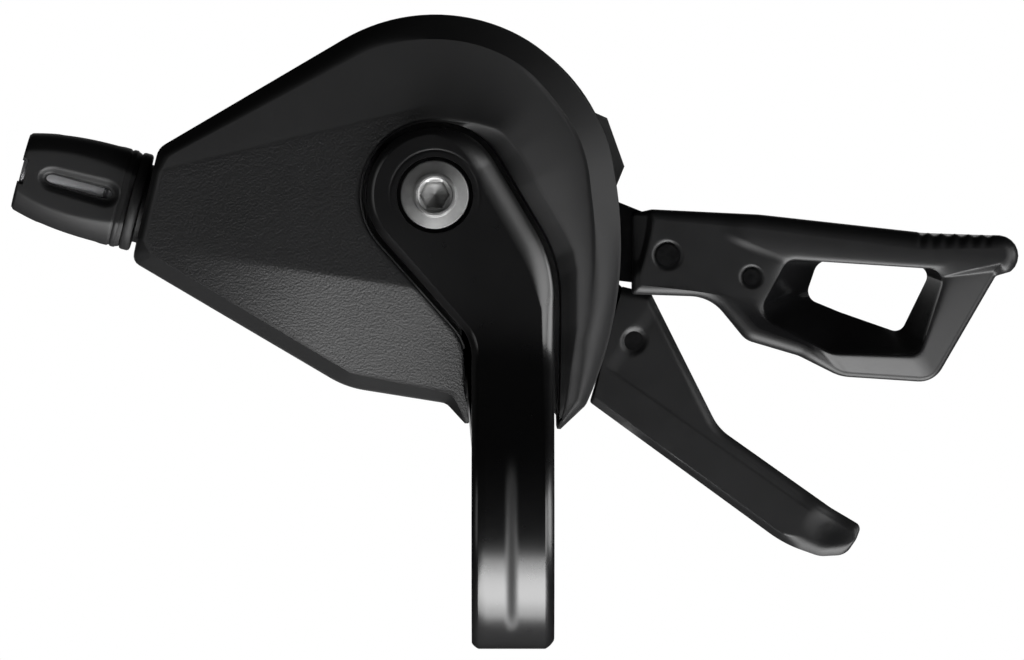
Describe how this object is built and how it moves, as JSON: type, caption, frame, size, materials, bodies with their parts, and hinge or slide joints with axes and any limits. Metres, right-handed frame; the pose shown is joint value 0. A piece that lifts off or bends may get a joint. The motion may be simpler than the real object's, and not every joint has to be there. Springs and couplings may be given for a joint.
{
  "type": "trigger gear shifter",
  "caption": "Black handlebar trigger gear shifter with a band clamp, thumb lever, windowed release lever, ratchet drum and a barrel cable adjuster.",
  "frame": {"origin": "centre of the handlebar clamp, on the handlebar's axis", "axes": "+X along the handlebar towards the grip, +Z from the handlebar's axis towards the body, +Y away from the side that carries the clamp arm"},
  "size_m": [0.1164, 0.0361, 0.0731],
  "materials": {
    "forged_arm": "satin black anodised aluminium",
    "cover_plastic": "grained matte black",
    "lever_plastic": "satin black, lightly grained",
    "adjuster_plastic": "satin black",
    "sleeve_aluminium": "machined",
    "bolt_steel": "satin, dark",
    "rivet_steel": "blackened",
    "steel": "stamped",
    "spring_steel": "drawn wire and strip"
  },
  "bodies": {
    "mount_and_case": {"clamp_bracket": "forged_arm", "clamp_screw": "steel", "arm_bolt": "bolt_steel", "upper_cover": "cover_plastic", "lower_cover": "cover_plastic", "cover_screws": "steel", "base_plate": "steel", "main_axle": "steel", "retaining_ring": "spring_steel", "thrust_washers": "steel", "adjuster_collar": "adjuster_plastic", "hold_pawl_pin": "steel", "hold_pawl_spring": "spring_steel", "release_lever_spring": "spring_steel", "drum_spring": "spring_steel", "main_lever_spring": "spring_steel"},
    "main_lever": {"main_lever_plate": "steel", "main_lever_paddle": "lever_plastic", "main_lever_rivet": "rivet_steel", "drive_pawl_pin": "steel", "drive_pawl_spring": "spring_steel"},
    "release_lever": {"release_lever_plate": "steel", "release_lever_paddle": "lever_plastic", "release_lever_rivets": "rivet_steel"},
    "cable_drum": {"cable_drum": "steel"},
    "hold_pawl": {"hold_pawl": "steel"},
    "drive_pawl": {"drive_pawl": "steel"},
    "adjuster": {"adjuster_barrel": "adjuster_plastic", "adjuster_sleeve": "sleeve_aluminium"}
  },
  "joints": [
    {"name": "main_lever_pivot", "type": "hinge", "parent": "mount_and_case", "child": "main_lever", "pos_m": [-0.009, 0, 0.0383], "axis": [0, -1, 0], "range_deg": [0, 45], "stiffness_Nm_per_rad": 0.12, "springref_deg": -17.19},
    {"name": "release_lever_pivot", "type": "hinge", "parent": "mount_and_case", "child": "release_lever", "pos_m": [-0.009, 0, 0.0383], "axis": [0, -1, 0], "range_deg": [-5, 12], "stiffness_Nm_per_rad": 0.6},
    {"name": "cable_drum_spin", "type": "hinge", "parent": "mount_and_case", "child": "cable_drum", "pos_m": [-0.009, 0, 0.0383], "axis": [0, -1, 0], "range_deg": [0, 165], "stiffness_Nm_per_rad": 0.02, "springref_deg": -22.92},
    {"name": "hold_pawl_pivot", "type": "hinge", "parent": "mount_and_case", "child": "hold_pawl", "pos_m": [-0.024, 0, 0.0298], "axis": [0, -1, 0], "range_deg": [-4, 0], "stiffness_Nm_per_rad": 0.004, "springref_deg": 5.73},
    {"name": "drive_pawl_pivot", "type": "hinge", "parent": "main_lever", "child": "drive_pawl", "pos_m": [-0.01486, 0, 0.0528], "axis": [0, -1, 0], "range_deg": [0, 3.5], "stiffness_Nm_per_rad": 0.004, "springref_deg": -5.73},
    {"name": "adjuster_spin", "type": "hinge", "parent": "mount_and_case", "child": "adjuster", "pos_m": [-0.05368, 0.0124, 0.04033], "axis": [-0.9659, 0, 0.2588], "continuous": true}
  ]
}
